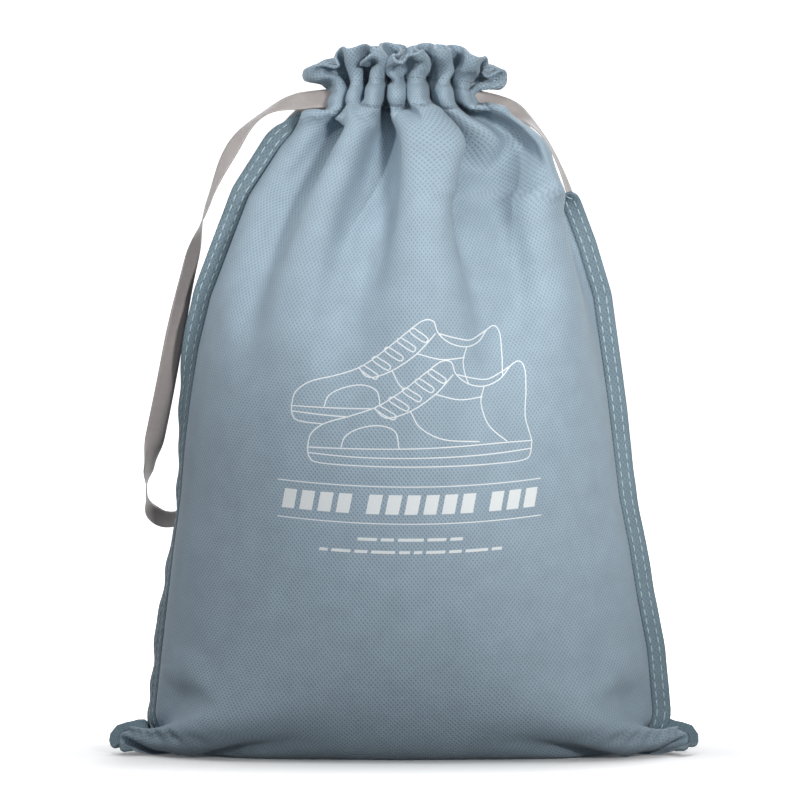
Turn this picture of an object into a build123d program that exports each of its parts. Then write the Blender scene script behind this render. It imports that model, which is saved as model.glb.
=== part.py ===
"""Drawstring shoe bag in non-woven cloth: a cloth sack folded at the bottom and sewn up both sides,
a gathered neck that opens front to back, and two ribbon loops that pull out of the neck's ends.

Frame: millimetres, +Z up, +X to the right of a person facing the front, -Y towards that person.
The origin is on the floor under the middle of the bag."""

from build123d import *
import math
import os

# Driving dimensions of the sewn bag.
FLAT_WIDTH = 300.0        # ear tip to ear tip, along the fold at the bottom
SEAM_ALLOWANCE = 10.0     # sewn flange outside each side seam
CLOTH = 1.2               # drawn wall of the cloth; the real cloth is about 0.5
STITCH = 0.5              # drawn thickness of a thread lying on the cloth
BODY_TOP = 318.0          # where the sack ends and the gathered neck starts
BAG_TOP = 352.0           # top of the frill
APART = 0.3               # gap between bodies that move apart

# Height, half width at the side seams and half depth of the filled sack.
SACK = [
    (0.0, 118.0, 26.0),
    (12.0, 122.0, 40.0),
    (45.0, 119.0, 56.0),
    (100.0, 112.0, 68.0),
    (180.0, 101.0, 72.0),
    (230.0, 92.0, 68.0),
    (270.0, 76.0, 58.0),
    (300.0, 57.0, 44.0),
    (BODY_TOP, 40.0, 30.0),
]

# The neck: outer outline with the frill flaring above it, then the open throat inside the gathers.
NECK = [(BODY_TOP + APART, 39.0, 29.0), (327.0, 35.0, 23.0), (340.0, 51.0, 31.0), (BAG_TOP, 44.0, 33.0)]
THROAT = [(BODY_TOP + APART, 25.0, 16.0), (329.0, 21.0, 11.0), (BAG_TOP, 33.0, 19.0)]
CHANNEL_MIDDLE = (29.0, 17.0)    # half width and half depth of the ribbon channel's centre line
CHANNEL_ROOM = 1.3               # free space each side of that centre line
CHANNEL_BOTTOM, CHANNEL_TOP = 320.5, 332.5
EXIT_HALF_WIDTH = 4.4            # half of the slit at each side seam where the ribbons leave
BARTACK_HEIGHT = 3.0

# Ribbon.
RIBBON_WIDTH = 10.0
RIBBON_THICK = 0.5
RIBBON_HEIGHT = 326.5            # middle of the ribbon in the channel
RUN_END = 6.0                    # the runs in the channel stop this far from the middle plane
RUN_OFFSET = 0.6                 # the two ribbons lie this far each side of the channel's centre line

# Ear at each bottom corner and the fold along the bottom.
EAR_HEIGHT = 15.0
EAR_ROUNDING = 6.0               # how far the ear's underside is cut back below its tip
FOLD_HEIGHT = 1.0                # the fold along the bottom lies this far above the floor
SEAM_ROWS = (3.0, 7.0)           # stitch rows, from the flange's outer edge


def ellipse_at(height, half_width, half_depth):
    return Plane.XY.offset(height) * Ellipse(half_width, half_depth)


def lofted(stations):
    return loft([ellipse_at(*station) for station in stations])


def shrunk(stations, by):
    return [(height, width - by, depth - by) for height, width, depth in stations]


def half_space(front, clear=0.0):
    """A block that holds everything in front of, or behind, the middle plane."""
    size = 2 * FLAT_WIDTH
    middle = size / 2 + clear
    return Pos(0, -middle if front else middle, size / 2 - 50) * Box(size, size, size)


def edge_points(outside):
    """Points up a side seam, a distance outside it, from above the ear to the top of the sack."""
    return [(width + outside, height) for height, width, _ in SACK if height > EAR_HEIGHT]


def side_flange(side):
    """The two cloth edges sewn together up one side, outside the seam, with the ear at their foot."""
    outer = edge_points(SEAM_ALLOWANCE)
    inner = edge_points(-CLOTH / 2)
    tip = FLAT_WIDTH / 2
    foot = [
        (outer[0][0] + CLOTH, EAR_HEIGHT + SEAM_ALLOWANCE / 2),
        (tip - SEAM_ALLOWANCE, EAR_HEIGHT),
        (tip, EAR_HEIGHT / 2),
        (tip - EAR_ROUNDING, EAR_HEIGHT / 5),
        (SACK[1][1], 1.5 * FOLD_HEIGHT),
        (SACK[0][1] - CLOTH / 2, FOLD_HEIGHT),
    ]
    outline = list(reversed(outer)) + foot + inner
    corners = [(side * across, up) for across, up in outline]
    plate = Plane.XZ * make_face(Polyline(*corners, close=True))
    return Pos(0, -CLOTH / 2, 0) * extrude(plate, amount=-CLOTH) - lofted(SACK)


def panel(front):
    """One cloth wall of the sack with its half of the base."""
    outer = lofted(SACK)
    hollow = lofted(shrunk([(CLOTH, *SACK[0][1:])] + SACK[1:], CLOTH))
    return (outer - hollow) & half_space(front)


def seam_stitching(side):
    """Two rows of thread on each face of a side flange."""
    threads = []
    for row in SEAM_ROWS:
        for face in (-1, 1):
            middle = SEAM_ALLOWANCE - row
            line = edge_points(middle + STITCH) + list(reversed(edge_points(middle - STITCH)))
            strip = Plane.XZ * make_face(Polyline(*[(side * x, z) for x, z in line], close=True))
            start = CLOTH / 2 if face > 0 else -CLOTH / 2 - STITCH
            threads.append(Pos(0, start, 0) * extrude(strip, amount=-STITCH))
    return Compound(threads)


def channel_band(low, high, inside, outside):
    """A band that follows the channel's centre line, between two offsets from it."""
    width, depth = CHANNEL_MIDDLE
    tall = high - low
    outer = extrude(ellipse_at(low, width + outside, depth + outside), amount=tall)
    inner = extrude(ellipse_at(low, width + inside, depth + inside), amount=tall)
    return outer - inner


def gathers():
    """The whole gathered ring of the neck, with the ribbon channel and the two exits cut out."""
    ring = lofted(NECK) - lofted(THROAT)
    ring -= channel_band(CHANNEL_BOTTOM, CHANNEL_TOP, -CHANNEL_ROOM, CHANNEL_ROOM)
    exits = Box(FLAT_WIDTH, 2 * EXIT_HALF_WIDTH, CHANNEL_TOP - CHANNEL_BOTTOM)
    return ring - Pos(0, 0, (CHANNEL_BOTTOM + CHANNEL_TOP) / 2) * exits


def inside_channel(reach):
    """Everything inside the channel's centre line, pushed out by reach."""
    width, depth = CHANNEL_MIDDLE
    tall = BAG_TOP - BODY_TOP + 2
    return extrude(ellipse_at(BODY_TOP - 1, width + reach, depth + reach), amount=tall)


def header(front):
    """Outer layer of the gathered neck: the outside of the channel and the frill."""
    outer = gathers() - inside_channel(CHANNEL_ROOM)
    return outer & half_space(front, APART)


def hem_facing(front):
    """Turned-in layer of the neck, inside the channel."""
    inner = gathers() & inside_channel(-CHANNEL_ROOM)
    return inner & half_space(front, APART)


def channel_row(front, low):
    """One row of stitches through both layers of the neck, which closes the channel from that side."""
    band = channel_band(low, low + STITCH, -CHANNEL_ROOM, CHANNEL_ROOM)
    return band & half_space(front, EXIT_HALF_WIDTH)


def exit_bartack(front, side):
    """Dense backstitches that stop the seam from tearing, just above the ribbon's exit."""
    low = CHANNEL_TOP + STITCH
    band = channel_band(low, low + BARTACK_HEIGHT, -CHANNEL_ROOM, CHANNEL_ROOM) & half_space(front, APART)
    middle = side * CHANNEL_MIDDLE[0]
    return band & Pos(middle, 0, low) * Box(CHANNEL_MIDDLE[0], 2 * EXIT_HALF_WIDTH, 4 * BARTACK_HEIGHT)


def ribbon_run(front, offset):
    """The length of one ribbon that lies in one half of the channel."""
    low = RIBBON_HEIGHT - RIBBON_WIDTH / 2
    band = channel_band(low, low + RIBBON_WIDTH, offset - RIBBON_THICK / 2, offset + RIBBON_THICK / 2)
    return band & half_space(front, RUN_END)


def filleted_route(points):
    """Straight runs joined by tangent arcs, each as large as its two runs allow."""
    places = [Vector(*point) for point in points]
    radii = []
    for before, here, after in zip(places, places[1:], places[2:]):
        arriving, leaving = here - before, after - here
        turn = math.radians(arriving.get_angle(leaving))
        radii.append(0.45 * min(arriving.length, leaving.length) / math.tan(turn / 2))
    path = FilletPolyline(*places, radius=radii)
    print("ribbon radii", [round(r) for r in radii], "length", round(path.length, 1))
    return path


def ribbon_loop(points, lean):
    """A flat ribbon along a route; the lean, in degrees, shares out its twist between both exits."""
    path = filleted_route(points)
    upright = Vector(0, math.sin(math.radians(lean)), math.cos(math.radians(lean)))
    section = Plane(origin=path @ 0, x_dir=upright, z_dir=path % 0)
    return sweep(section * Rectangle(RIBBON_WIDTH, RIBBON_THICK), path=path)


# The left loop hangs clear of the flange, turns at its foot and goes back up behind the flange.
LEFT_LOOP = [
    (-24.0, -2.0, RIBBON_HEIGHT),
    (-46.0, -2.0, 327.0),
    (-70.0, -1.0, 321.0),
    (-88.0, 1.5, 300.0),
    (-102.0, 6.0, 263.0),
    (-112.0, 11.0, 222.0),
    (-120.0, 17.0, 180.0),
    (-126.5, 24.0, 150.0),
    (-129.5, 27.0, 134.0),
    (-129.5, 28.5, 122.0),
    (-123.0, 29.0, 115.0),
    (-113.5, 29.0, 115.0),
    (-106.5, 28.5, 122.0),
    (-106.5, 27.0, 138.0),
    (-104.5, 22.5, 170.0),
    (-102.0, 15.5, 212.0),
    (-90.5, 9.5, 258.0),
    (-68.0, 4.0, 299.0),
    (-46.0, 2.0, 325.5),
    (-24.0, 2.0, RIBBON_HEIGHT),
]

# The right loop falls over the shoulder and hangs behind the bag.
RIGHT_LOOP = [
    (24.0, -2.0, RIBBON_HEIGHT),
    (46.0, -2.0, 326.0),
    (67.0, 2.0, 314.0),
    (81.0, 18.0, 287.0),
    (91.0, 38.0, 252.0),
    (98.0, 49.0, 212.0),
    (101.0, 54.0, 174.0),
    (101.5, 56.0, 142.0),
    (100.5, 56.5, 122.0),
    (94.0, 56.5, 115.0),
    (84.5, 56.5, 115.0),
    (77.5, 56.5, 122.0),
    (78.0, 56.0, 140.0),
    (78.5, 54.0, 172.0),
    (78.0, 49.0, 210.0),
    (76.0, 38.0, 250.0),
    (72.0, 18.0, 285.0),
    (64.0, 5.0, 312.0),
    (46.0, 2.0, 326.0),
    (24.0, 2.0, RIBBON_HEIGHT),
]

NODES = {
    "front_panel": panel(front=True),
    "back_panel": panel(front=False),
    "left_side_flange": side_flange(-1),
    "right_side_flange": side_flange(1),
    "left_seam_stitching": seam_stitching(-1),
    "right_seam_stitching": seam_stitching(1),
    "left_ribbon_loop": ribbon_loop(LEFT_LOOP, lean=-7),
    "right_ribbon_loop": ribbon_loop(RIGHT_LOOP, lean=-21),
}
for half, is_front in (("front", True), ("back", False)):
    NODES[half + "_frill"] = header(is_front)
    NODES[half + "_hem_facing"] = hem_facing(is_front)
    NODES[half + "_lower_channel_stitching"] = channel_row(is_front, BODY_TOP + APART)
    NODES[half + "_upper_channel_stitching"] = channel_row(is_front, CHANNEL_TOP)
    NODES[half + "_left_ribbon_run"] = ribbon_run(is_front, -RUN_OFFSET)
    NODES[half + "_right_ribbon_run"] = ribbon_run(is_front, RUN_OFFSET)
    NODES[half + "_left_bartack"] = exit_bartack(is_front, -1)
    NODES[half + "_right_bartack"] = exit_bartack(is_front, 1)

os.makedirs("parts", exist_ok=True)
for node, shape in NODES.items():
    export_step(shape, f"parts/{node}.step")
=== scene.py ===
"""Looks of the drawstring shoe bag: folded and gathered cloth, sewn flanges, stitches, ribbons and a print.

The cloth is worked out in millimetres on the flat pattern, relaxed as a sheet around the stuffing, and
then built in metres in the frame's own axes: +Z up, +X to the viewer's right, front towards -Y."""

import math

import bpy
import numpy as np
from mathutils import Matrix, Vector


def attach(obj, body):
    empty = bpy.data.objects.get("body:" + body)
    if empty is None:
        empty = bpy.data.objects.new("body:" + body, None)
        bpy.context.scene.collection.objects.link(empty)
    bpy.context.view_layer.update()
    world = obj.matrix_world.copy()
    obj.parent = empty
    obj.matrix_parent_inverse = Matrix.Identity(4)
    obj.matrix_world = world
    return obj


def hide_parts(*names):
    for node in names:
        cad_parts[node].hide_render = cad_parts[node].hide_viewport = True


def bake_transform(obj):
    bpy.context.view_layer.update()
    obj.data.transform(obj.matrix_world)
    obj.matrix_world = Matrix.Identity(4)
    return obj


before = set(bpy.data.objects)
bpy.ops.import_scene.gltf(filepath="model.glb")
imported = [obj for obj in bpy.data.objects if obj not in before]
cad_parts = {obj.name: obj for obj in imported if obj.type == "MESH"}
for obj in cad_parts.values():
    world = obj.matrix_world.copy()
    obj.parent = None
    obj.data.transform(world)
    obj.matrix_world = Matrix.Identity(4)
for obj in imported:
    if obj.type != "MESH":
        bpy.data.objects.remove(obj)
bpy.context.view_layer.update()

MM = 0.001

# ---- The flat pattern: s runs across from seam to seam, t runs up from the fold at the bottom.
SEAM = 140.0  # the side seams lie at s = -SEAM and +SEAM
FLANGE = 9.5  # sewn allowance outside each seam
TOP = 400.0  # folded top edge of the frill
CELL = 4.0  # size of one cell of the relaxed cloth
FLANGE_TOP = 354.0  # the flange ends just under the slit
SLIT_FROM = 364.0  # front and back are not sewn together above this
LOWER_ROW, UPPER_ROW = 364.0, 383.0  # the two stitch rows of the ribbon's channel
NECK_ROWS = (368.0, 380.0)  # rows of cloth held by the drawn ribbons
CLOTH = 0.5  # thickness of the cloth
PLEAT_OVERHANG = 1.8  # how far a pleat's crest stands out over the valleys beside it
EAR_LIFT = 4.5  # how far the bottom corners curl up
EAR_ROWS = 6  # rows of cells that each ear takes up on the seam
NECK_HALF_WIDTH = 36.0  # half width of the drawn neck
FOLD_ROOM = 26.0  # the sack opens out from the fold at the bottom over this much cloth
FOLD_DEPTH = 27.0  # half depth of the sack at the end of that cloth
FLARE_FROM = 382.0  # the frill flares out above this
FLARE_SPREAD = 15.0  # how far the frill's ends spread sideways
FLARE_OUT = 3.0  # how far the frill leans out
CREST_DROP = 4.5  # how far the frill's top edge sinks at the crests
PLEATS_FROM = 150.0  # there are no pleats or ridges below this
DEEPEST_PLEAT = 20.0

S = np.arange(-SEAM, SEAM + 1, CELL)
T = np.arange(0, TOP + 1, CELL)

# Up the middle of the bag: t, height, half width and half depth of the stuffed sack.
MIDDLE = np.array([
    (0, 1, 124, 3), (26, 1, 121, 27), (44, 12, 121, 40), (81, 45, 118, 56), (137, 100, 111, 67),
    (217, 180, 100, 70), (267, 230, 90, 65), (308, 270, 73, 53), (341, 301.5, 54, 36),
    (364, 322.5, 40, 26), (368, 326.5, 38, 25), (374, 331.5, 37, 23), (380, 333.5, 35.5, 17),
    (388, 339.5, 40, 17), (400, 349, 49, 22)], float)
# Up the side seams: t and height. They start at the ear's tip.
SIDE = np.array([
    (0, 8), (22, 15), (52, 45), (107, 100), (188, 180), (239, 230), (282, 268), (317, 297),
    (342, 311), (366, 320), (382, 329.5), (400, 337.5)], float)
# The stuffing: height, half width and half depth.
STUFFING = np.array([
    (0, 117, 25), (12, 120, 38), (45, 117, 54), (100, 110, 66), (180, 99, 69), (230, 88, 62),
    (262, 72, 50), (285, 52, 34), (300, 34, 20), (312, 16, 8), (316, 0.1, 0.1)], float)

# Pleats in the drawn neck: place on the cloth, place across the neck, outward +1 or inward -1.
NECK_FRONT = np.array([
    (-140, -36, 0), (-122, -32.5, .6), (-103, -27.5, -.8), (-88, -24, .6), (-72, -19.5, -.8),
    (-52, -14, .9), (-30, -8.5, -1), (-13, -3.8, .9), (-3, 1, .2), (14, 6.5, 1.1), (38, 13, -1),
    (58, 18.5, .9), (80, 25, -1), (101, 29, .5), (119, 32.5, -.6), (140, 36, 0)], float)
NECK_BACK = np.array([
    (-140, -36, 0), (-120, -31, .6), (-100, -26, -.8), (-78, -20, .9), (-58, -14, -1), (-38, -9, .9),
    (-20, -4, -1), (0, 1.5, 1), (22, 7, -1), (44, 12.5, .9), (64, 18, -.9), (84, 23, .9),
    (104, 28, -.7), (122, 32, .5), (140, 36, 0)], float)
# Broader ridges that the pleats run into on the shoulders: place on the cloth, outward or inward.
RIDGES_FRONT = np.array([
    (-140, 0), (-106, .8), (-86, -.8), (-62, .9), (-34, -1), (-12, .9), (20, 1), (50, -1), (98, .9),
    (126, -.3), (140, 0)], float)
RIDGES_BACK = np.array([
    (-140, 0), (-112, .8), (-84, -.9), (-46, .9), (-10, -.9), (34, 1), (72, -.9), (106, .8),
    (128, -.3), (140, 0)], float)

# Half widths of the standing bag at its side seams, left and right of the middle, by height.
OUTLINE = np.array([
    (20, 124, 124), (52, 120.5, 121), (78, 117.5, 116), (103, 114.5, 112), (128, 111, 107),
    (153, 109, 104), (178, 106, 101), (203, 102, 97.5), (228, 96, 94), (253, 86.5, 86.5), (278, 77, 77),
    (303, 61, 62), (318, 48, 49)], float)
PAST_SEAM = 1.5  # the shoulders are pressed in where they bulge farther than this past the seam
PRESSED_IN = 0.8  # the share of that bulge that is taken away

# How the cloth settles: every figure is for one step, in millimetres or as a share.
STEPS, QUICK_STEPS = 520, 100
PRESSURE = 0.005  # outward push of what is in the bag, on the belly
SHOULDER_PULL = 0.03  # share of the way back to the pleated start that the shoulders are pulled
FRILL_PULL = 0.05  # the same for the frill
KEPT_SPEED = 0.97
LONGEST_MOVE = 0.8
SINKING = 0.006
LOWEST = 0.4  # the cloth's middle never lies lower than this
HELD_UP_TO, HELD_OUT_TO = 20.0, 108.0  # t and s of the bottom that the stuffing's weight holds
UNDER_STUFFING = 24.0  # cloth below this t lies under the stuffing and is not pushed out by it
# Links between points: columns over, rows up, stiffness. The long ones only resist bending.
LINKS = (
    (1, 0, 1), (0, 1, 1), (1, 1, .5), (-1, 1, .5), (2, 0, .2), (0, 2, .25), (4, 0, .08), (0, 4, .08),
    (8, 0, .015))


def eased(value, low, high):
    """0 below low, 1 above high, and a smooth step between them."""
    share = np.clip((value - low) / (high - low), 0, 1)
    return share * share * (3 - 2 * share)


def unit(vectors):
    """The same directions with length 1; vectors are along the last axis."""
    return vectors / (np.linalg.norm(vectors, axis=-1, keepdims=True) + 1e-9)


def folded(knots, s):
    """A folded line at s: how far out it is, and how far it leans from a crest towards the next valley."""
    k = np.clip(np.searchsorted(knots[:, 0], s, side="right") - 1, 0, len(knots) - 2)
    low, high = knots[k], knots[k + 1]
    share = (s - low[:, 0]) / (high[:, 0] - low[:, 0])
    rise = high[:, -1] - low[:, -1]
    return low[:, -1] + rise * (1 - np.cos(math.pi * share)) / 2, -np.sign(rise) * np.sin(math.pi * share)


def row_as_pleated(side, t, neck, ridges):
    """One row of cloth before it is relaxed: an ellipse pleated until it takes up the row's length."""
    share = S / SEAM
    height, wide, deep = [np.interp(t, MIDDLE[:, 0], MIDDLE[:, k]) for k in (1, 2, 3)]
    side_height = np.interp(t, SIDE[:, 0], SIDE[:, 1])
    neck_wave, overhang = folded(neck, S)
    ridge_wave, _ = folded(ridges, S)
    free = 1 - np.abs(share) ** 24
    neckness = float(eased(t, 250, 366))
    pleated = float(eased(t, 335, 366))
    flare = float(eased(t, FLARE_FROM, FLARE_FROM + 20))
    spread = wide / NECK_HALF_WIDTH if t < FLARE_FROM else 1.0
    across = spread * (np.interp(S, neck[:, 0], neck[:, 1]) + pleated * PLEAT_OVERHANG * overhang * free)
    across = across + FLARE_SPREAD * flare * np.abs(share) ** 5 * np.sign(share)
    x = (1 - neckness) * wide * np.sin(share * math.pi / 2) + neckness * across
    y = side * deep * np.sqrt(1 - np.clip(x / wide, -1, 1) ** 2)
    wave = ((1 - pleated) * ridge_wave + pleated * neck_wave) * free
    out_x, out_y = x / wide ** 2, y / deep ** 2
    size = np.hypot(out_x, out_y) + 1e-9
    out_x, out_y = out_x / size * (1 - .7 * neckness), out_y / size
    lean = .4 * (1 - pleated) * np.clip(1 - 1.7 * share ** 2, 0, 1)
    low, high = 0.0, DEEPEST_PLEAT if t >= PLEATS_FROM else 0.0
    for _ in range(20):
        depth = (low + high) / 2
        px, py = x + (out_x + lean) * wave * depth, y + out_y * wave * depth
        if np.hypot(np.diff(px), np.diff(py)).sum() < 2 * SEAM:
            low = depth
        else:
            high = depth
    curve = 3 if t >= FOLD_ROOM else 8
    if t < FOLD_ROOM:
        px = S * (1 - t / FOLD_ROOM) + px * t / FOLD_ROOM
        py = side * t / FOLD_ROOM * FOLD_DEPTH * np.sqrt(np.clip(1 - np.abs(share) ** 3, 0, 1))
    py = py + side * FLARE_OUT * flare
    pz = height + (side_height - height) * np.abs(share) ** curve
    pz = pz - CREST_DROP * flare * np.maximum(neck_wave, 0) * (1 - np.abs(share) ** 3)
    return np.stack([px, py, pz], axis=1)


class Cloth:
    """The folded cloth as two sheets of points that share the bottom fold and the sewn seams."""

    def __init__(self):
        rows, columns = len(T), len(S)
        self.front = np.arange(rows * columns).reshape(rows, columns)
        sewn = (np.abs(S)[None, :] >= SEAM) & (T[:, None] < SLIT_FROM)
        self.shared = sewn | (T[:, None] == 0)
        self.back = np.where(self.shared, self.front, self.front + rows * columns)
        self.points = np.zeros((2 * rows * columns, 3))
        self.s, self.t = np.zeros(len(self.points)), np.zeros(len(self.points))
        for sheet, side, neck, ridges in (
            (self.back, 1, NECK_BACK, RIDGES_BACK),
            (self.front, -1, NECK_FRONT, RIDGES_FRONT),
        ):
            start = np.array([row_as_pleated(side, t, neck, ridges) for t in T])
            self.points[sheet.ravel()] = start.reshape(-1, 3)
            self.s[sheet.ravel()] = np.tile(S, rows)
            self.t[sheet.ravel()] = np.repeat(T, columns)

    def links(self):
        """Groups of pairs that share no point: first, second, rest length, stiffness, bending or not."""
        groups = []
        across, up = np.meshgrid(np.arange(len(S)), np.arange(len(T)))
        for sheet in (self.front, self.back):
            for di, dj, stiffness in LINKS:
                ok = (across + di < len(S)) & (across + di >= 0) & (up + dj < len(T))
                i, j = across[ok], up[ok]
                if sheet is self.back:
                    own = ~(self.shared[j, i] & self.shared[j + dj, i + di])
                    i, j = i[own], j[own]
                rest = CELL * math.hypot(di, dj)
                colour = (i // abs(di)) % 2 if dj == 0 else (j // dj) % 2
                for c in (0, 1):
                    a = sheet[j[colour == c], i[colour == c]]
                    b = sheet[j[colour == c] + dj, i[colour == c] + di]
                    groups.append((a, b, rest, stiffness, max(abs(di), dj) > 1))
        return groups

    def normals(self, points):
        """Outward directions, from each sheet's own neighbours."""
        total = np.zeros_like(points)
        for sheet, sign in ((self.front, 1), (self.back, -1)):
            grid = points[sheet]
            along, upward = np.zeros_like(grid), np.zeros_like(grid)
            along[:, 1:-1] = grid[:, 2:] - grid[:, :-2]
            upward[1:-1] = grid[2:] - grid[:-2]
            np.add.at(total, sheet.ravel(), sign * np.cross(along, upward).reshape(-1, 3))
        return unit(total)

    def relax(self, steps):
        """Lets the cloth settle: it keeps its cut size, resists bending, and lies on what is in the bag."""
        s, t = self.s, self.t
        in_neck = (t >= NECK_ROWS[0]) & (t <= NECK_ROWS[1])
        held = in_neck | (t <= HELD_UP_TO) & (np.abs(s) <= HELD_OUT_TO)
        on_floor = t < UNDER_STUFFING
        weight = np.where(held, 0.0, 1.0)
        start = self.points.copy()
        pressure = PRESSURE * (1 - eased(t, 230, 310)) * eased(t, 30, 60)
        early_pull = SHOULDER_PULL * eased(t, 230, 300) * (1 - eased(t, 380, 388))
        frill_pull = FRILL_PULL * eased(t, 376, 388)
        groups = self.links()
        points, before = self.points.copy(), self.points.copy()
        for step in range(steps):
            move = (points - before) * KEPT_SPEED
            move *= np.minimum(1, LONGEST_MOVE / (np.linalg.norm(move, axis=1, keepdims=True) + 1e-9))
            before = points.copy()
            points = points + move
            points[:, 2] -= SINKING
            pull = early_pull * max(0.12, 1 - step / (0.6 * steps)) + frill_pull
            points += (start - points) * pull[:, None] + self.normals(before) * pressure[:, None]
            for a, b, rest, stiffness, bending in groups:
                gap = points[b] - points[a]
                length = np.sqrt((gap * gap).sum(1)) + 1e-9
                share = (length - rest) / length * stiffness
                if bending:
                    share = np.minimum(share, 0)
                total = weight[a] + weight[b] + 1e-9
                gap *= share[:, None]
                points[a] += gap * (weight[a] / total)[:, None]
                points[b] -= gap * (weight[b] / total)[:, None]
            loose = points[on_floor].copy()
            push_out_of_stuffing(points)
            points[on_floor] = loose
            points[:, 2] = np.maximum(points[:, 2], LOWEST)
            points[held] = start[held]
        self.points = points

    def fit_outline(self):
        """Sets the side seams where the outline says, and presses in what bulges past them."""
        points = self.points
        height = points[:, 2]
        for side, column in ((-1, 0), (1, -1)):
            seam = points[self.front[:, column]][: int(SLIT_FROM / CELL)]
            upright = seam[EAR_ROWS:]
            order = np.argsort(upright[:, 2])
            now = np.interp(height, upright[order, 2], np.abs(upright[order, 0]))
            target = np.interp(height, OUTLINE[:, 0], OUTLINE[:, 1 if side < 0 else 2])
            ratio = target / np.maximum(now, 20)
            fade = eased(height, 4, 22) * (1 - eased(height, 310, 326))
            half = points[:, 0] * side > 0
            points[half, 0] *= (1 + (ratio - 1) * fade)[half]
            widest = target + PAST_SEAM
            beyond = np.maximum(np.abs(points[:, 0]) - widest, 0) * eased(height, 235, 265)
            points[half, 0] -= (side * PRESSED_IN * beyond)[half]

    def lift_ears(self):
        """The bottom corners stick out past the stuffing and curl up off the floor."""
        points = self.points
        far_out = eased(np.abs(points[:, 0]), 122, 144)
        points[:, 2] += EAR_LIFT * far_out * np.clip(1 - points[:, 2] / 20, 0, 1)


def push_out_of_stuffing(points):
    """Moves the points that are inside the stuffing outwards, at most 3 mm at a time."""
    height = points[:, 2]
    wide = np.interp(height, STUFFING[:, 0], STUFFING[:, 1])
    deep = np.interp(height, STUFFING[:, 0], STUFFING[:, 2])
    reach = np.sqrt((points[:, 0] / wide) ** 2 + (points[:, 1] / deep) ** 2)
    inside = (reach < 1) & (height < 315)
    out_x = points[inside, 0] / wide[inside] ** 2
    out_y = points[inside, 1] / deep[inside] ** 2
    slope = np.hypot(out_x, out_y) + 1e-9
    depth = np.minimum((1 - reach[inside]) * np.maximum(reach[inside], .2) / slope, 3.0)
    points[inside, 0] += out_x / slope * depth
    points[inside, 1] += out_y / slope * depth


def refined(grid, axis):
    """Doubles the rows along an axis with a smooth curve through the points."""
    grid = np.moveaxis(grid, axis, 0)
    before = np.concatenate([2 * grid[:1] - grid[1:2], grid[:-2]])
    after = np.concatenate([grid[2:], 2 * grid[-1:] - grid[-2:-1]])
    middle = (9 * (grid[:-1] + grid[1:]) - before - after) / 16
    out = np.empty((2 * len(grid) - 1,) + grid.shape[1:])
    out[0::2], out[1::2] = grid, middle
    return np.moveaxis(out, 0, axis)


class Sheet:
    """A fine grid of cloth that can be asked for any place on the flat pattern."""

    def __init__(self, grid, side):
        self.grid = refined(refined(grid, 0), 1)
        self.s = np.linspace(S[0], S[-1], self.grid.shape[1])
        self.outward_s = self.s[::-side]    # in the order that makes a piece's normals point outward
        self.t = np.linspace(T[0], T[-1], self.grid.shape[0])
        along, upward = np.gradient(self.grid, axis=1), np.gradient(self.grid, axis=0)
        self.normal = unit(-side * np.cross(along, upward))

    def at(self, s, t, lift=0.0):
        """Points on the sheet at (s, t), raised along the outward normal."""
        s, t = np.broadcast_arrays(np.asarray(s, float), np.asarray(t, float))
        across = np.clip((s - self.s[0]) / (self.s[1] - self.s[0]), 0, len(self.s) - 1.001)
        up = np.clip((t - self.t[0]) / (self.t[1] - self.t[0]), 0, len(self.t) - 1.001)
        i, j = across.astype(int), up.astype(int)
        u, v = (across - i)[..., None], (up - j)[..., None]

        def mixed(values):
            low = values[j, i] * (1 - u) + values[j, i + 1] * u
            high = values[j + 1, i] * (1 - u) + values[j + 1, i + 1] * u
            return low * (1 - v) + high * v

        return mixed(self.grid) + lift * mixed(self.normal)


# ---- Building meshes
def new_piece(name, points, faces, material, uv=None):
    """A smooth mesh object from points in millimetres; uv holds each point's place on the flat cloth."""
    mesh = bpy.data.meshes.new(name)
    mesh.from_pydata((np.asarray(points) * MM).tolist(), [], [tuple(map(int, f)) for f in faces])
    mesh.validate()
    mesh.shade_smooth()
    if uv is not None:
        layer = mesh.uv_layers.new(name="cloth")
        corners = np.zeros(len(mesh.loops), int)
        mesh.loops.foreach_get("vertex_index", corners)
        layer.data.foreach_set("uv", (np.asarray(uv)[corners] * MM * 10).astype(np.float32).ravel())
    mesh.materials.append(material)
    piece = bpy.data.objects.new(name, mesh)
    bpy.context.scene.collection.objects.link(piece)
    return piece


def grid_normals(grid):
    """The unit normal at each point of a grid."""
    return unit(np.cross(np.gradient(grid, axis=1), np.gradient(grid, axis=0)))


def shell(top, bottom):
    """Points and faces of a closed shell between two grids of points of the same size."""
    rows, columns = top.shape[:2]
    index = np.arange(rows * columns).reshape(rows, columns)
    a, b, c, d = index[:-1, :-1], index[:-1, 1:], index[1:, 1:], index[1:, :-1]
    upper = np.stack([a, b, c, d], axis=-1).reshape(-1, 4)
    count = rows * columns
    rim = np.concatenate([index[0], index[1:, -1], index[-1, -2::-1], index[-2:0:-1, 0]])
    ahead = np.roll(rim, -1)
    edge = np.stack([ahead, rim, rim + count, ahead + count], axis=-1)
    points = np.concatenate([top.reshape(-1, 3), bottom.reshape(-1, 3)])
    return points, np.concatenate([upper, upper[:, ::-1] + count, edge])


def thick_grid(grid, thickness):
    """Points and faces of a closed sheet around a grid of points."""
    offset = grid_normals(grid) * thickness / 2
    return shell(grid + offset, grid - offset)


def joined(shells):
    """Several shells as one set of points and faces."""
    starts = np.cumsum([0] + [len(points) for points, _ in shells[:-1]])
    all_points = np.concatenate([points for points, _ in shells])
    return all_points, np.concatenate([faces + start for (_, faces), start in zip(shells, starts)])


def grid_places(s, t):
    """The place on the flat pattern of each point of a grid with columns at s and rows at t."""
    return np.stack(np.meshgrid(s, t), axis=-1).reshape(-1, 2)


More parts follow.
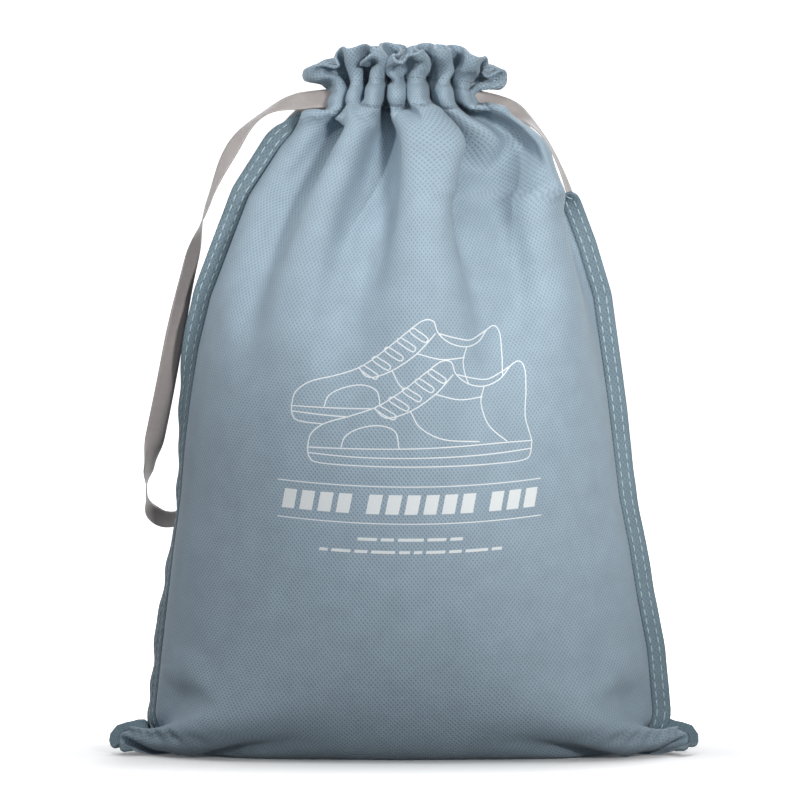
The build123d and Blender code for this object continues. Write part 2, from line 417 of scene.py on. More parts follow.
def closed_piece(name, closed_shell, places, material):
    """A piece whose shell lies over one grid; both of its faces take that grid's places."""
    points, faces = closed_shell
    return new_piece(name, points, faces, material, np.concatenate([places, places]))


def cloth_piece(name, grid, s, t, material):
    """A closed sheet of cloth over a grid whose columns are at s and rows at t on the flat pattern."""
    return closed_piece(name, thick_grid(grid, CLOTH), grid_places(s, t), material)


NECK_THREAD, SEAM_THREAD = 0.5, 0.62  # widths of the threads
THREAD_RISE = 0.28  # how far the middle of a stitch stands up
# Along a stitch: share of its length, share of its full width, and height as a share of the rise.
STITCH_PROFILE = ((0, .35, -.25), (.18, .9, .6), (.5, 1, 1), (.82, .9, .6), (1, .35, -.25))


def threads(name, runs, material, width):
    """Separate stitches: each run is (point, point, outward normal), and becomes one rounded thread."""
    points, faces = [], []
    ring = [(math.cos(k * math.pi / 3), math.sin(k * math.pi / 3)) for k in range(6)]
    for first, last, normal in runs:
        across = unit(np.cross(unit(last - first), normal))
        base = len(points)
        for share, size, lift in STITCH_PROFILE:
            middle = first + (last - first) * share + normal * THREAD_RISE * lift
            for c, n in ring:
                points.append(middle + across * c * size * width / 2 + normal * n * size * width / 3)
        for level in range(4):
            for k in range(6):
                a, b = base + level * 6 + k, base + level * 6 + (k + 1) % 6
                faces.append((a, b, b + 6, a + 6))
        faces.append(tuple(base + k for k in range(5, -1, -1)))
        faces.append(tuple(base + 24 + k for k in range(6)))
    return new_piece(name, np.array(points), faces, material)


# ---- Materials
class Nodes:
    """Small helper for building a node material."""

    def __init__(self, name):
        self.material = bpy.data.materials.new(name)
        self.material.use_nodes = True
        self.tree = self.material.node_tree
        self.shader = self.tree.nodes["Principled BSDF"]

    def add(self, kind, inputs=None, **settings):
        node = self.tree.nodes.new(kind)
        for key, value in settings.items():
            setattr(node, key, value)
        for key, value in (inputs or {}).items():
            if isinstance(value, bpy.types.NodeSocket):
                self.tree.links.new(value, node.inputs[key])
            else:
                node.inputs[key].default_value = value
        return node

    def math(self, operation, first, second=0.0, third=0.0):
        inputs = {0: first, 1: second, 2: third}
        return self.add("ShaderNodeMath", inputs, operation=operation).outputs[0]

    def flat_place(self):
        """The place on the flat cloth."""
        return self.add("ShaderNodeUVMap", uv_map="cloth").outputs[0]

    def noise(self, place, scale, detail, **more):
        inputs = {"Vector": place, "Scale": scale, "Detail": detail, **more}
        return self.add("ShaderNodeTexNoise", inputs).outputs[0]

    def bump(self, height, strength, distance):
        inputs = {"Height": height, "Strength": strength, "Distance": distance}
        return self.add("ShaderNodeBump", inputs).outputs[0]

    def mix(self, share, first, second):
        node = self.add("ShaderNodeMix", {0: share, 6: first, 7: second}, data_type="RGBA")
        return node.outputs[2]

    def set(self, **inputs):
        for key, value in inputs.items():
            socket = self.shader.inputs[key.replace("_", " ")]
            if isinstance(value, bpy.types.NodeSocket):
                self.tree.links.new(value, socket)
            else:
                socket.default_value = value


def spunbond(name, light, dark, finer):
    """Non-woven cloth: bonded in a fine slanting lattice, with fibres and cloudy unevenness."""
    n = Nodes(name)
    place = n.flat_place()
    apart = n.add("ShaderNodeSeparateXYZ", {0: place})
    turn, pitch = math.radians(38), 0.0158
    waves = []
    for angle in (turn, math.pi - turn):
        u = n.math("MULTIPLY", apart.outputs[0], math.cos(angle) * 2 * math.pi / pitch)
        v = n.math("MULTIPLY", apart.outputs[1], math.sin(angle) * 2 * math.pi / pitch)
        waves.append(n.math("SINE", n.math("ADD", u, v)))
    lattice = n.math("MAXIMUM", waves[0], waves[1])
    lattice = n.math("MULTIPLY_ADD", lattice, 0.5, 0.5)
    fibres = n.noise(place, 420.0, 3.0, Distortion=1.5)
    clouds = n.noise(place, 7.0 + finer, 4.0, Roughness=.6)
    tone = n.math("MULTIPLY", lattice, 0.62)
    tone = n.math("ADD", tone, n.math("MULTIPLY", fibres, 0.35))
    base = n.mix(tone, (*dark, 1), (*light, 1))
    shade = n.math("MULTIPLY_ADD", clouds, 0.35, 0.82)
    tint = n.add("ShaderNodeCombineColor", {0: shade, 1: shade, 2: shade})
    colour = n.add("ShaderNodeMix", {0: 1.0, 6: base, 7: tint.outputs[0]}, data_type="RGBA",
                   blend_type="MULTIPLY")
    relief = n.math("ADD", lattice, n.math("MULTIPLY", fibres, 0.5))
    bump = n.bump(relief, 0.55, 0.00035)
    rough = n.math("MULTIPLY_ADD", lattice, 0.16, 0.56)
    n.set(Base_Color=colour.outputs[2], Roughness=rough, Normal=bump, Sheen_Weight=0.12,
          Sheen_Roughness=0.45)
    return n.material


def satin():
    """Polyester satin ribbon: fine ribs across it, and a soft lengthwise gloss."""
    n = Nodes("ribbon_satin")
    place = n.flat_place()
    apart = n.add("ShaderNodeSeparateXYZ", {0: place})
    ribs = n.math("SINE", n.math("MULTIPLY", apart.outputs[1], 2 * math.pi / 0.0045))
    edge = n.math("ABSOLUTE", n.math("MULTIPLY", apart.outputs[0], 20.0))
    selvedge = n.math("GREATER_THAN", edge, 0.86)
    cloudy = n.math("MULTIPLY", n.noise(place, 30.0, 3.0), 0.7)
    tone = n.math("ADD", cloudy, n.math("MULTIPLY", selvedge, 0.3))
    colour = n.mix(tone, (0.27, 0.245, 0.24, 1), (0.375, 0.345, 0.335, 1))
    height = n.math("ADD", ribs, n.math("MULTIPLY", selvedge, 1.5))
    n.set(Base_Color=colour, Roughness=0.42, Normal=n.bump(height, 0.25, 0.0001), Sheen_Weight=0.3,
          Anisotropic=0.4)
    return n.material


def plain_thread(name, light, dark):
    """Twisted sewing thread."""
    n = Nodes(name)
    twist = n.noise(n.add("ShaderNodeTexCoord").outputs["Object"], 1400.0, 2.0)
    colour = n.mix(twist, (*dark, 1), (*light, 1))
    n.set(Base_Color=colour, Roughness=0.6, Normal=n.bump(twist, 0.4, 0.0002), Sheen_Weight=0.2)
    return n.material


def ink():
    """White screen print, a little worn where it lies on the bonded lattice."""
    n = Nodes("print_ink")
    grain = n.noise(n.flat_place(), 160.0, 4.0, Roughness=.7)
    colour = n.mix(grain, (0.52, 0.56, 0.58, 1), (0.74, 0.77, 0.79, 1))
    n.set(Base_Color=colour, Roughness=0.55, Normal=n.bump(grain, 0.3, 0.0002))
    return n.material


def paper_floor():
    """Bright white paper; away from the bag it glows, a painted glow, and near the bag it glows less, a
    painted shadow around the bag.
    """
    n = Nodes("floor_paper_painted_shadow")
    place = n.add("ShaderNodeTexCoord").outputs["Object"]
    colour = n.mix(n.noise(place, 60.0, 3.0), (0.90, 0.90, 0.90, 1), (0.93, 0.93, 0.93, 1))
    wide = n.add("ShaderNodeVectorMath", {0: place, 1: (1.0, 2.2, 1.0)}, operation="MULTIPLY")
    away = n.add("ShaderNodeVectorMath", {0: wide.outputs[0]}, operation="LENGTH")
    # Emission rises from 0 near the bag to 1 farther out: painted glow, with a painted shadow around the
    # bag.
    glow = n.add("ShaderNodeMapRange", {0: away.outputs["Value"], 1: .10, 2: .36, 3: .0, 4: 1.0})
    n.set(Base_Color=colour, Roughness=0.8, Emission_Color=(1, 1, 1, 1), Emission_Strength=glow.outputs[0])
    return n.material


CLOTH_MATERIAL = spunbond("bag_cloth_blue", (0.30, 0.395, 0.475), (0.13, 0.185, 0.235), 0.0)
# The hem facing is the bag's own cloth turned inside, drawn in a somewhat darker copy: painted shade inside
# the frill.
FACING_PAINTED_SHADE_MATERIAL = spunbond("facing_cloth_painted_shade", (0.27, 0.355, 0.42), (0.10, 0.15, 0.19), 1.0)
# The flanges are the bag's own cloth, drawn in a much darker copy: painted shade, for flanges turned back
# away from the light.
FLANGE_PAINTED_SHADE_MATERIAL = spunbond("flange_cloth_painted_shade", (0.16, 0.235, 0.28), (0.06, 0.10, 0.13), 2.0)
# The sewing thread is one grey-blue thread drawn in two copies: this lighter one is painted light, for
# thread where it is lit, on the bartacks and flange seams.
THREAD_PAINTED_LIGHT = plain_thread("thread_painted_light", (0.52, 0.64, 0.70), (0.30, 0.41, 0.47))
# This darker copy of the same thread is painted shade, for the dents that the channel's stitch rows sit in.
ROW_THREAD_PAINTED_SHADE = plain_thread("thread_painted_shade", (0.16, 0.23, 0.28), (0.05, 0.08, 0.10))
RIBBON_MATERIAL = satin()
INK_MATERIAL = ink()

# ---- Camera, light and floor
CAMERA_DISTANCE, CAMERA_ELEVATION, CAMERA_LENS = 3.0, 2.6, 271
CAMERA_TARGET = (-0.002, 0.0, 0.1765)
FLOOR_RADIUS, WALL_RADIUS, WALL_TOP = 4.5, 6.0, 3.5


def aimed(thing, place, target):
    """Puts a camera or a light in its place, looking at the target."""
    thing.location = place
    thing.rotation_euler = (Vector(target) - Vector(place)).to_track_quat("-Z", "Y").to_euler()
    bpy.context.scene.collection.objects.link(thing)
    return thing


def soft_light(name, place, target, size, power, colour):
    light = bpy.data.lights.new(name, "AREA")
    light.shape, light.size, light.size_y = "RECTANGLE", size[0], size[1]
    light.energy, light.color = power, colour
    aimed(bpy.data.objects.new(name, light), place, target)


def spot_light(name, place, target, cone, power, softness):
    light = bpy.data.lights.new(name, "SPOT")
    light.energy, light.color, light.shadow_soft_size = power, (1.0, .985, .965), softness
    light.spot_size, light.spot_blend = math.radians(cone), 1.0
    aimed(bpy.data.objects.new(name, light), place, target)


def make_stage():
    """The camera, the lamps and the paper floor."""
    lens = bpy.data.cameras.new("camera")
    lens.lens, lens.sensor_width, lens.clip_end = CAMERA_LENS, 36, 50
    elevation = math.radians(CAMERA_ELEVATION)
    back_off, rise = CAMERA_DISTANCE * math.cos(elevation), CAMERA_DISTANCE * math.sin(elevation)
    place = (CAMERA_TARGET[0], -back_off, CAMERA_TARGET[2] + rise)
    bpy.context.scene.camera = aimed(bpy.data.objects.new("camera", lens), place, CAMERA_TARGET)
    bpy.context.scene.view_settings.view_transform = "Standard"

    soft_light("top_light", (-0.2, -.5, 1.7), (0, 0, 0), (.7, .7), 4, (1.0, .99, .98))
    soft_light("side_light", (-1.5, -.5, 1.4), (0, 0, .3), (.5, .6), 6, (.96, .98, 1.0))
    soft_light("back_light", (0.6, 1.5, 1.5), (0, 0, .2), (.8, .8), 16, (.97, .99, 1.0))
    spot_light("key_light", (0.6, -1.4, .62), (0.055, 0, .20), 20.5, 128, .16)
    spot_light("neck_light", (-1.1, -1.0, .80), (-0.03, 0, .30), 12, 48, .04)

    # The room is brighter overhead than below the level of the table.
    world = bpy.data.worlds.new("studio")
    world.use_nodes = True
    tree = world.node_tree
    direction = tree.nodes.new("ShaderNodeTexCoord")
    height = tree.nodes.new("ShaderNodeSeparateXYZ")
    strength = tree.nodes.new("ShaderNodeMapRange")
    for key, value in (("From Min", -.5), ("From Max", .6), ("To Min", .07), ("To Max", .31)):
        strength.inputs[key].default_value = value
    tree.links.new(direction.outputs["Generated"], height.inputs[0])
    tree.links.new(height.outputs[2], strength.inputs["Value"])
    tree.links.new(strength.outputs[0], tree.nodes["Background"].inputs[1])
    tree.nodes["Background"].inputs[0].default_value = (.93, .97, 1.0, 1)
    bpy.context.scene.world = world

    # A round floor whose rim curves up into a wall, wide enough for a camera on any side.
    bend = WALL_RADIUS - FLOOR_RADIUS
    profile = [(0.02, 0.0), (1, 0), (2, 0), (3, 0), (FLOOR_RADIUS, 0.0)]
    for a in np.linspace(.1, math.pi / 2, 12):
        profile.append((FLOOR_RADIUS + bend * math.sin(a), bend - bend * math.cos(a)))
    profile.append((WALL_RADIUS, WALL_TOP))
    turns = 96
    corners, faces = [], [tuple(range(turns))]
    for k, (radius, z) in enumerate(profile):
        for j in range(turns):
            angle = 2 * math.pi * j / turns
            corners.append((radius * math.cos(angle), radius * math.sin(angle), z))
            a, b = k * turns + j, k * turns + (j + 1) % turns
            if k > 0:
                faces.append((a - turns, a, b, b - turns))
    mesh = bpy.data.meshes.new("floor")
    mesh.from_pydata(corners, [], faces)
    mesh.shade_smooth()
    mesh.materials.append(paper_floor())
    floor = bpy.data.objects.new("floor", mesh)
    bpy.context.scene.collection.objects.link(floor)
    floor.visible_diffuse = False


make_stage()

# ---- Ribbons: the route's points, in metres, are those of the ribbon loops' solids.
RIBBON_WIDTH, RIBBON_THICK = 10.0, 0.3
RIBBON_CROWN = 0.35  # how far the ribbon's middle stands out over its edges

LEFT_ROUTE = (
    (-.024, -.002, .3265), (-.046, -.002, .327), (-.070, -.001, .321), (-.088, .0015, .300),
    (-.102, .006, .263), (-.112, .011, .222), (-.120, .017, .180), (-.1265, .024, .150),
    (-.1295, .027, .134), (-.1295, .0285, .122), (-.123, .029, .115), (-.1135, .029, .115),
    (-.1065, .0285, .122), (-.1065, .027, .138), (-.1045, .0235, .170), (-.102, .018, .212),
    (-.0905, .014, .258), (-.068, .0095, .299), (-.046, .004, .3255), (-.024, .002, .3265))
RIGHT_ROUTE = (
    (.024, -.002, .3265), (.046, -.002, .326), (.067, .002, .314), (.081, .018, .287),
    (.091, .038, .252), (.098, .049, .212), (.101, .054, .174), (.1015, .056, .142),
    (.1005, .0565, .122), (.094, .0565, .115), (.0845, .0565, .115), (.0775, .0565, .122),
    (.078, .056, .140), (.0785, .054, .172), (.078, .049, .210), (.076, .038, .250),
    (.072, .018, .285), (.064, .005, .312), (.046, .002, .326), (.024, .002, .3265))
# How the ribbon is turned: share of its length, and the direction that its width points in.
LEFT_TURNS = (
    (0, (0, 0, 1)), (.045, (0, .5, .9)), (.09, (0, 1, .3)), (.135, (-.6, .75, .3)), (.19, (-.2, 1, .2)),
    (.25, (.75, .7, .2)), (.34, (.95, .3, .1)), (.42, (1, .15, .1)), (.455, (.5, .9, 0)),
    (.475, (0, 1, .3)), (.5, (0, .5, .85)), (.56, (-.5, .85, .1)), (.65, (-.6, .8, 0)),
    (.85, (-.5, .8, 0)), (.93, (-.4, .6, .7)), (1, (0, 0, 1)))
RIGHT_TURNS = (
    (0, (0, 0, 1)), (.05, (0, .5, .9)), (.1, (0, 1, .3)), (.2, (.3, .9, .3)), (.45, (.2, 1, 0)),
    (.55, (0, 1, 0)), (.8, (-.3, .9, 0)), (.9, (0, 1, .3)), (.95, (0, .5, .9)), (1, (0, 0, 1)))


def line_of(route):
    """The smooth line that the route's points control, as points in metres."""
    curve = bpy.data.curves.new("route", "CURVE")
    curve.dimensions = "3D"
    spline = curve.splines.new("NURBS")
    spline.points.add(len(route) - 1)
    for point, place in zip(spline.points, route):
        point.co = (*place, 1)
    spline.order_u = 3
    spline.use_endpoint_u = True
    holder = bpy.data.objects.new("route", curve)
    bpy.context.scene.collection.objects.link(holder)
    bpy.context.view_layer.update()
    mesh = bpy.data.meshes.new_from_object(holder)
    line = np.array([v.co for v in mesh.vertices], float)
    bpy.data.objects.remove(holder)
    bpy.data.curves.remove(curve)
    bpy.data.meshes.remove(mesh)
    return line


def flat_ribbon(name, line, turns):
    """A flat ribbon along a line in metres; its width is turned as the turns say."""
    line = line / MM
    along = unit(np.gradient(line, axis=0))
    run = np.concatenate([[0], np.cumsum(np.linalg.norm(np.diff(line, axis=0), axis=1))])
    share = run / run[-1]
    places = np.array([place for place, _ in turns])
    wanted = np.array([direction for _, direction in turns], float)
    k = np.clip(np.searchsorted(places, share, side="right") - 1, 0, len(places) - 2)
    between = eased(share, places[k], places[k + 1])[:, None]
    width = wanted[k] * (1 - between) + wanted[k + 1] * between
    width = unit(width - along * (width * along).sum(1)[:, None])
    face = np.cross(width, along)
    offsets = np.linspace(-RIBBON_WIDTH / 2, RIBBON_WIDTH / 2, 7)
    crown = RIBBON_CROWN * (1 - (offsets / offsets[-1]) ** 2)
    grid = line[:, None] + width[:, None] * offsets[None, :, None]
    grid = grid + face[:, None] * crown[None, :, None]
    lift = face[:, None] * RIBBON_THICK / 2
    return closed_piece(name, shell(grid + lift, grid - lift), grid_places(offsets, run), RIBBON_MATERIAL)


def make_loop(side, route, turns):
    """One ribbon loop outside the channel, hanging from the neck."""
    line = line_of(route)
    ribbon = flat_ribbon(f"{side}_ribbon_cloth", line, turns)
    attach(ribbon, f"{side}_ribbon")
    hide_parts(f"{side}_ribbon_loop")


make_loop("left", LEFT_ROUTE, LEFT_TURNS)
make_loop("right", RIGHT_ROUTE, RIGHT_TURNS)

# ---- The cloth
cloth = Cloth()
cloth.relax(STEPS)
cloth.fit_outline()
cloth.lift_ears()
front = Sheet(cloth.points[cloth.front], -1)
back = Sheet(cloth.points[cloth.back], 1)

# The mouth above the panels: the hem facing, the top edge, the ribbons in the channel, and the channel's
# stitches and bartacks.
HEM_LIFT = -1.6  # the facing lies this far inside the frill
HEM_SHORT = 2.0  # and stops this far below the top edge
RIM_RADIUS = 0.6  # the top edge is folded over at this radius
RIM_TAIL = 5.0  # length of the cloth that is drawn turned over the top edge
RUN_ROWS = (369.0, 379.0)  # the channel's rows that a ribbon covers
RUN_THICK = 0.2
RUN_LIFTS = (("left", -.75), ("right", -1.1))
CHANNEL_PITCH, CHANNEL_STITCH = 3.6, 2.7
BARTACK_LINES = (1.6, 3.4, 6.2)  # upright lines of a bartack, by distance from the seam
BARTACK_ROWS = (1.2, 2.6)  # level rows of a bartack, above the upper stitch row


def bends_with_mouth(piece, half, node):
    """Bakes the piece's placement into its points and hides the model's part that it stands in for."""
    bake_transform(piece)
    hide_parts(f"{half}_{node}")


def make_panel(half, sheet):
    """The front or back of the sack, from the fold up to the channel's lower stitches."""
    rows = sheet.t <= LOWER_ROW
    grid = sheet.grid[rows] if half == "front" else sheet.grid[rows, ::-1]
    panel = cloth_piece(f"{half}_cloth", grid, sheet.outward_s, sheet.t[rows], CLOTH_MATERIAL)
    bends_with_mouth(panel, half, "panel")
    return panel


def make_frill(half, sheet):
    """The channel and the frill above it: the outer layer with its folded top edge, and the hem inside."""
    s = sheet.outward_s
    rows = sheet.t[sheet.t >= LOWER_ROW]
    outer = sheet.at(s[None, :], rows[:, None])
    up = unit(outer[-1] - outer[-3])
    out = sheet.at(s, TOP, 1.0) - sheet.at(s, TOP)
    fold = []
    for a in (.8, 1.6, 2.4, math.pi):
        fold.append(outer[-1] + up * RIM_RADIUS * math.sin(a) - out * RIM_RADIUS * (1 - math.cos(a)))
    tail = sheet.at(s, TOP - 3, -2 * RIM_RADIUS)
    grid = np.concatenate([outer, np.array(fold), tail[None]])
    t = np.concatenate([rows, TOP + np.array([.5, 1, 1.5, 2.0]), [TOP + RIM_TAIL]])
    frill = cloth_piece(f"{half}_frill_cloth", grid, s, t, CLOTH_MATERIAL)
    inner_rows = sheet.t[(sheet.t >= LOWER_ROW) & (sheet.t <= TOP - HEM_SHORT)]
    inner = sheet.at(s[None, :], inner_rows[:, None], HEM_LIFT)
    # The facing takes the darker copy of the cloth: painted shade.
    facing = cloth_piece(f"{half}_facing_cloth", inner, s, inner_rows, FACING_PAINTED_SHADE_MATERIAL)
    bends_with_mouth(frill, half, "frill")
    bends_with_mouth(facing, half, "hem_facing")
    return frill, facing


def make_runs(half, sheet):
    """The two ribbons inside the channel, one for each loop, lying against each other."""
    s = sheet.outward_s[np.abs(sheet.outward_s) < SEAM - 3]
    t = np.linspace(*RUN_ROWS, 6)
    for ribbon, lift in RUN_LIFTS:
        grid = sheet.at(s[None, :], t[:, None], lift)
        places = grid_places(s, t - sum(RUN_ROWS) / 2)[:, ::-1]
        run = closed_piece(f"{half}_{ribbon}_run", thick_grid(grid, RUN_THICK), places, RIBBON_MATERIAL)
        bends_with_mouth(run, half, f"{ribbon}_ribbon_run")


def stitch_row(sheet, along, fixed, pitch, length, across=False):
    """Stitches as (point, point, normal) up t, or across s; fixed is the other coordinate."""
    runs = []
    for start in np.arange(along[0], along[1], pitch):
        ends = [start, min(start + length, along[1])]
        places = [(e, fixed) if across else (fixed, e) for e in ends]
        first, last = [sheet.at(s, t, CLOTH / 2) for s, t in places]
        middle_s, middle_t = np.mean(places, axis=0)
        normal = sheet.at(middle_s, middle_t, 1) - sheet.at(middle_s, middle_t, 0)
        runs.append((first, last, normal))
    return runs


def make_channel_stitches(half, sheet):
    """The two stitch rows of the channel, and the bartacks at both ends of the frill."""
    pieces = []
    for name, t in (("lower", LOWER_ROW + 1), ("upper", UPPER_ROW)):
        runs = stitch_row(sheet, (-SEAM + 1, SEAM - 1), t, CHANNEL_PITCH, CHANNEL_STITCH, across=True)
        # The channel rows take the darker copy of the thread: painted shade.
        row = threads(f"{half}_{name}_channel_thread", runs, ROW_THREAD_PAINTED_SHADE, NECK_THREAD)
        pieces.append((row, f"{name}_channel_stitching"))
    for side, name in ((-1, "left"), (1, "right")):
        runs = []
        for from_seam in BARTACK_LINES:
            runs += stitch_row(sheet, (UPPER_ROW + 1.5, TOP - 1), side * (SEAM - from_seam), 2.2, 1.8)
        for above in BARTACK_ROWS:
            ends = sorted((side * (SEAM - 1), side * (SEAM - 9)))
            runs += stitch_row(sheet, ends, UPPER_ROW + above, 1.3, 1.1, across=True)
        # The bartacks take the lighter copy of the thread: painted light.
        tack = threads(f"{half}_{name}_bartack_thread", runs, THREAD_PAINTED_LIGHT, NECK_THREAD)
        pieces.append((tack, f"{name}_bartack"))
    for piece, node in pieces:
        bends_with_mouth(piece, half, node)
    return [piece for piece, _ in pieces]


# ---- Flanges outside the side seams
LAYER_APART = .32  # each of a flange's two layers of cloth lies this far from its middle
SEAM_ROWS = (3.0, 7.0)  # the flange's stitch rows, by distance from its cut edge
SEAM_PITCH, SEAM_STITCH = 4.6, 3.4
STITCHES_FROM, STITCHES_SHORT = 40.0, 18.0  # they start at this t and stop this far below the top


def smoothed(values, times):
    for _ in range(times):
        values[1:-1] = (values[:-2] + 2 * values[1:-1] + values[2:]) / 4
    return values


def place_on(line, t, wanted):
    """The point, or the normal, at one t on a line whose rows are at t."""
    return np.array([np.interp(wanted, t, line[:, c]) for c in range(3)])


def flange_grid(side):
    """The sewn allowance as a grid: rows at t up the seam, columns at each width out to the cut edge."""
    column, inner = (0, 6) if side < 0 else (-1, -7)
    t = front.t[front.t <= FLANGE_TOP]
    seam = front.grid[: len(t), column]
    inside = (front.grid[: len(t), inner] + back.grid[: len(t), inner]) / 2
    tangent = unit(np.gradient(seam, axis=0))
    out = smoothed(unit(seam - inside), 6)
    square = eased(t, 0, 14)[:, None]
    out = unit(out - tangent * (out * tangent).sum(1)[:, None] * square)
    normal = np.cross(tangent, out) * side
    # In degrees: how far back the flange is turned beside the belly, and how it waves on the way up.
    if side < 0:
        turn = 58 * eased(t, 26, 60) * (1 - eased(t, 190, 260)) + 12 + 8 * np.sin(t / 19)
    else:
        turn = 12 * eased(t, 26, 60) * (1 - eased(t, 280, 340)) + 6 * np.sin(t / 23 + 1)
    turn = np.radians(turn)[:, None]
    backward = np.sign(normal[:, 1:2])
    leaning = out * np.cos(turn) + normal * backward * np.sin(turn)
    face = np.cross(tangent, leaning) * side
    width = np.linspace(0, FLANGE, 6)
    ripple = .5 * np.sin(t / 5.5) + .35 * np.sin(t / 3.1 + 2)
    bend = (width / FLANGE) ** 2
    reach = (.5 + .5 * eased(t, 20, 46)) * (1 - .75 * eased(t, 328, 352))
    grid = seam[:, None] + leaning[:, None] * (reach[:, None] * width[None, :])[..., None]
    grid += face[:, None] * (ripple[:, None] * bend[None, :])[..., None]
    grid[..., 2] = np.maximum(grid[..., 2], 2 * LOWEST)
    return t, width, grid


def make_flange(side, name):
    """A flange of two layers of cloth, with two rows of stitches that show on both faces."""
    t, width, grid = flange_grid(side)
    s = side * (SEAM + width)
    if side < 0:
        grid, s = grid[:, ::-1], s[::-1]
    normals = grid_normals(grid)
    lifts = (-LAYER_APART, LAYER_APART)
    layers = joined([thick_grid(grid + normals * lift, CLOTH) for lift in lifts])
    places = np.concatenate([grid_places(s, t)] * 2)
    # The flanges take the darker copy of the cloth: painted shade.
    flange = closed_piece(f"{name}_flange_cloth", layers, places, FLANGE_PAINTED_SHADE_MATERIAL)
    runs = []
    for from_edge in SEAM_ROWS:
        k = np.interp(FLANGE - from_edge, width, np.arange(len(width)))
        low, share = int(k), k - int(k)
        columns = grid[:, ::-1] if side < 0 else grid
        facing = normals[:, ::-1] if side < 0 else normals
        row = columns[:, low] * (1 - share) + columns[:, low + 1] * share
        normal = facing[:, low]
        for sign in (-1, 1):
            for start in np.arange(STITCHES_FROM + .7 * from_edge / 3, t[-1] - STITCHES_SHORT, SEAM_PITCH):
                first, last = place_on(row, t, start), place_on(row, t, start + SEAM_STITCH)
                out = sign * place_on(normal, t, start + SEAM_STITCH / 2)
                lift = out * (LAYER_APART + CLOTH / 2 + .01)
                runs.append((first + lift, last + lift, out))
    # The flange seams take the lighter copy of the thread: painted light.
    stitches = threads(f"{name}_seam_thread", runs, THREAD_PAINTED_LIGHT, SEAM_THREAD)
    for piece, node, slot in ((flange, "side_flange", "bag_cloth"), (stitches, "seam_stitching", "thread")):
        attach(piece, "bag")
        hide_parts(f"{name}_{node}")
    return flange, stitches


for half, sheet in (("front", front), ("back", back)):
    panel = make_panel(half, sheet)
    frill, facing = make_frill(half, sheet)
    make_runs(half, sheet)
    rows = make_channel_stitches(half, sheet)

for side, name in ((-1, "left"), (1, "right")):
    flange, stitches = make_flange(side, name)

# ---- The print: a plain drawing of a pair of trainers over two rules, a row of slanted blocks and dashes
SOLE_BOTTOM = [(0, 8), (1, 3), (6, .4), (30, 0), (60, 0), (90, 0), (104, .4), (108, 3), (109, 10)]
SOLE_TOP = [(0, 8), (20, 8.6), (55, 9.5), (90, 10.5), (109, 10)]
UPPER = [(0, 8), (1.5, 15), (8, 21), (20, 25.5), (33, 31), (45, 39.5), (56, 48.5), (63, 53.5), (68, 53),
         (70.5, 47), (77, 42), (86, 40.5), (95, 43.5), (102, 50), (106.5, 51.5), (108.5, 47), (107.5, 36),
         (106, 23), (109, 10)]
TRAINER = [
    SOLE_BOTTOM, SOLE_TOP, UPPER,
    [(.6, 5.2), (30, 4.4), (80, 5), (108.6, 6)],
    [(16, 9), (18, 15), (25, 19.5), (34, 21), (41, 18), (43, 9.4)],
    [(31, 30), (37, 25), (48, 28.5), (60, 37), (69, 47)],
    [(48, 28.5), (53, 20), (64, 14), (82, 12)],
    [(86, 40.5), (83.5, 32), (87, 20), (96, 11)],
    [(60, 37), (72, 34), (84.5, 35)],
    [(70.5, 47), (79, 45), (88, 44), (96, 47), (102, 50)],
]
LACES = [((33 + 6.2 * k, 30 + 4.6 * k), (40 + 6.0 * k, 25.5 + 4.6 * k)) for k in range(5)]
LINE_WIDTH, RULE_WIDTH = 0.55, 0.5
PRINT_SQUASH, PRINT_BASE = .91, 187.0  # the trainers are drawn this much flatter, towards this t
NEAR_PLACE, FAR_PLACE = (-46, 188.5), (-55, 209)
RULES, RULE_ENDS = (179, 161.5), (-61, 68)
BLOCK_GROUPS, BLOCK_PITCH, GROUP_GAP = (4, 6, 3), 8.9, 5.2
BLOCKS_LEFT, BLOCKS_BOTTOM = -59.0, 166
BLOCK_WIDTH, BLOCK_HEIGHT, BLOCK_SLANT = 6.2, 9.2, 1.8
# Rows of dashes: t, left and right end, and the lengths of the dashes in turn.
DASH_ROWS = ((154, -22, 32, (9, 6, 12)), (148, -40, 50, (4, 9, 6, 11, 5)))
DASH_HEIGHT, DASH_SLANT, DASH_GAP = 1.4, .3, 1.8


def curve_through(corners, step=0.8):
    """Points on a smooth curve through the corners, about a step apart."""
    corners = np.asarray(corners, float)
    padded = np.concatenate([2 * corners[:1] - corners[1:2], corners, 2 * corners[-1:] - corners[-2:-1]])
    points = []
    for k in range(len(corners) - 1):
        p0, p1, p2, p3 = padded[k:k + 4]
        for u in np.linspace(0, 1, max(2, int(np.linalg.norm(p2 - p1) / step)), endpoint=False):
            points.append(.5 * (2 * p1 + (p2 - p0) * u + (2 * p0 - 5 * p1 + 4 * p2 - p3) * u * u
                                + (3 * p1 - p0 - 3 * p2 + p3) * u ** 3))
    return np.array(points + [corners[-1]])


def inside(point, outline):
    """Whether a point of the drawing is inside a closed outline."""
    (x, y), hit = point, False
    for (x1, y1), (x2, y2) in zip(outline, np.roll(outline, -1, axis=0)):
        if (y1 > y) != (y2 > y) and x < (x2 - x1) * (y - y1) / (y2 - y1) + x1:
            hit = not hit
    return hit


def lace(first, last):
    """The rounded outline of one lace."""
    first, last = np.array(first), np.array(last)
    along = unit(last - first)
    across = np.array([-along[1], along[0]]) * 1.4
    return [first + across, last + across, last + along * 1.2, last - across, first - across,
            first - along * 1.2, first + across]


def stroke(line, width=LINE_WIDTH):
    """A drawn line as a narrow patch of places on the cloth: rows along it, two columns across."""
    along = unit(np.gradient(line, axis=0))
    across = np.stack([-along[:, 1], along[:, 0]], axis=1) * width / 2
    return np.stack([line + across, line - across], axis=1)


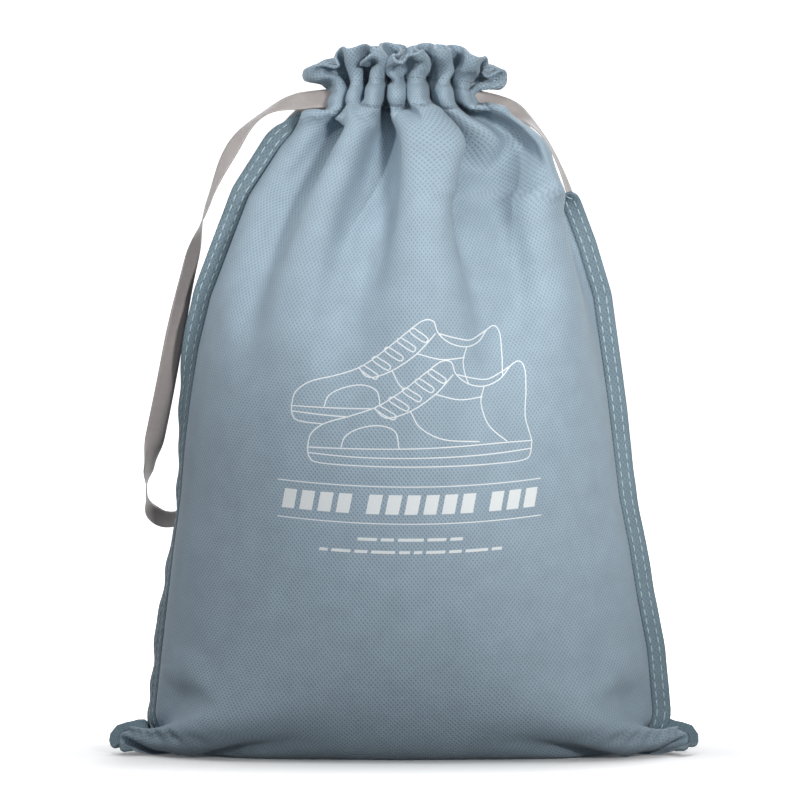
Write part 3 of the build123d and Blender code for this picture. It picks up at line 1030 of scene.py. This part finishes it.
def block(left, bottom, width, height, slant):
    """A filled slanted block as a patch of places on the cloth."""
    columns, rows = max(2, int(width) + 1), max(2, int(height) + 1)
    u, v = np.meshgrid(np.linspace(0, 1, columns), np.linspace(0, 1, rows))
    return np.stack([left + width * u + slant * v, bottom + height * v], axis=-1)


def trainer_lines(left, bottom, hidden_by=None):
    """The lines of one trainer, without what another trainer's outline hides."""
    lines = [curve_through(line) for line in TRAINER] + [curve_through(lace(*ends), .5) for ends in LACES]
    lines = [line + (left, bottom) for line in lines]
    if hidden_by is None:
        return lines
    shown = []
    for line in lines:
        seen = [not inside(point, hidden_by) for point in line]
        ends = np.flatnonzero(np.diff([False] + seen + [False]))
        shown += [line[start:end] for start, end in zip(ends[::2], ends[1::2]) if end - start > 2]
    return shown


def make_print():
    """The whole print as thin raised patches that follow the front's folds."""
    outline = np.concatenate([curve_through(UPPER), curve_through(SOLE_BOTTOM)[::-1]]) + NEAR_PLACE
    lines = trainer_lines(*NEAR_PLACE) + trainer_lines(*FAR_PLACE, hidden_by=outline)
    base = (0, PRINT_BASE)
    patches = [stroke((line - base) * (1, PRINT_SQUASH) + base) for line in lines]
    for t in RULES:
        patches.append(stroke(np.stack([np.linspace(*RULE_ENDS, 130), np.full(130, t)], axis=1), RULE_WIDTH))
    left = BLOCKS_LEFT
    for blocks in BLOCK_GROUPS:
        for _ in range(blocks):
            patches.append(block(left, BLOCKS_BOTTOM, BLOCK_WIDTH, BLOCK_HEIGHT, BLOCK_SLANT))
            left += BLOCK_PITCH
        left += GROUP_GAP
    for t, left, right, lengths in DASH_ROWS:
        k = 0
        while left < right - 3:
            length = min(lengths[k % len(lengths)], right - left)
            patches.append(block(left, t - DASH_HEIGHT / 2, length, DASH_HEIGHT, DASH_SLANT))
            left += length + DASH_GAP
            k += 1
    shells, places = [], []
    for patch in patches:
        s, t = patch[..., 0], patch[..., 1]
        shells.append(shell(front.at(s, t, CLOTH / 2 + .05), front.at(s, t, CLOTH / 2 - .1)))
        places += [patch.reshape(-1, 2)] * 2
    points, faces = joined(shells)
    drawing = new_piece("front_print", points, faces, INK_MATERIAL, np.concatenate(places))
    drawing.data.shade_flat()
    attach(drawing, "bag")


make_print()
